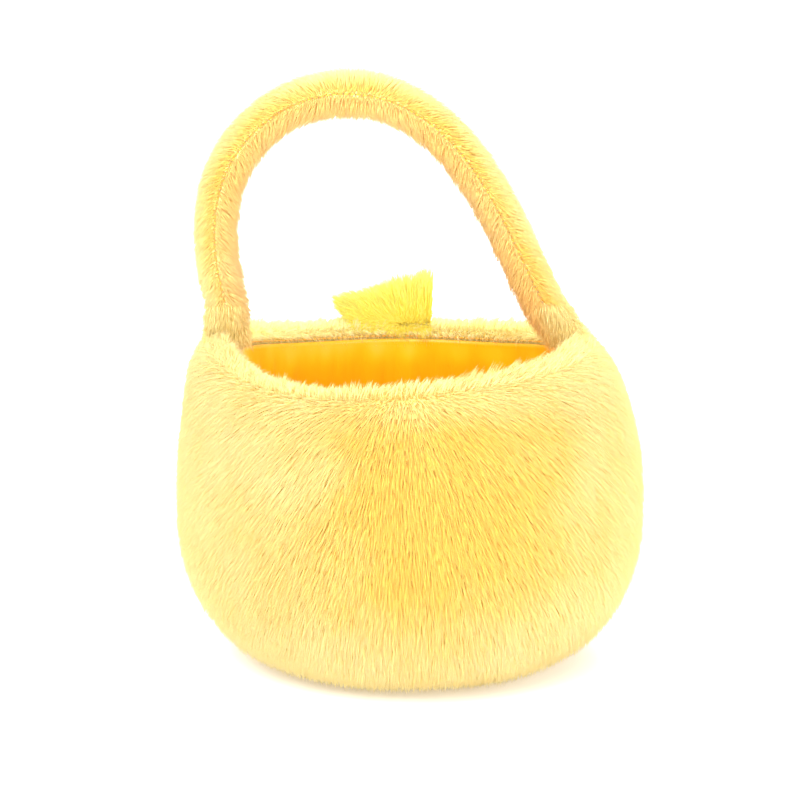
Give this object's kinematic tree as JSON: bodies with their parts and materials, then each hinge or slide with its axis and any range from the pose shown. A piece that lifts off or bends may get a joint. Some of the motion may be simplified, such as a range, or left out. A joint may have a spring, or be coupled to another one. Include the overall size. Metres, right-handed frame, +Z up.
{
  "type": "plush easter basket",
  "caption": "Soft round faux-fur tub with a satin lining, a stuffed fur handle that swings from its side seams, and a tuft on the rim.",
  "frame": {"origin": "on the floor under the centre of the belly, in the plane that the basket stands on", "axes": "+Z up out of the mouth, +X to the right along the line through the handle's two roots, +Y towards the front, where the tuft is"},
  "size_m": [0.235, 0.235, 0.2942],
  "materials": {
    "body_fur": "soft dense faux fur, pale tips over golden roots",
    "tuft_fur": "long lemon faux fur",
    "satin_lining": "smooth satin",
    "foam": "open foam and polyester fill",
    "board": "plain greyboard",
    "thread": "polyester sewing thread"
  },
  "bodies": {
    "tub": {"back_fur_panel": "body_fur", "front_fur_panel": "body_fur", "base_fur_panel": "body_fur", "back_wall_padding": "foam", "front_wall_padding": "foam", "base_board": "board", "base_padding": "foam", "back_lining_panel": "satin_lining", "front_lining_panel": "satin_lining", "base_lining_panel": "satin_lining", "left_handle_tab": "body_fur", "right_handle_tab": "body_fur", "tuft_tape": "tuft_fur", "base_seam_thread": "thread", "rim_seam_thread": "thread", "left_side_seam_thread": "thread", "right_side_seam_thread": "thread", "lining_base_seam_thread": "thread", "lining_left_seam_thread": "thread", "lining_right_seam_thread": "thread"},
    "handle": {"handle_outer_strip": "body_fur", "handle_inner_strip": "body_fur", "handle_stuffing": "foam", "handle_back_seam_thread": "thread", "handle_front_seam_thread": "thread"},
    "tuft": {"tuft": "tuft_fur"}
  },
  "joints": [
    {"name": "handle_swing", "type": "hinge", "parent": "tub", "child": "handle", "pos_m": [-0.009, 0, 0.1695], "axis": [1, 0, 0], "range_deg": [-70, 70], "stiffness_Nm_per_rad": 0.09},
    {"name": "tuft_flop", "type": "hinge", "parent": "tub", "child": "tuft", "pos_m": [-0.007, 0.087, 0.1563], "axis": [1, 0, 0], "range_deg": [-30, 30], "stiffness_Nm_per_rad": 0.004}
  ]
}
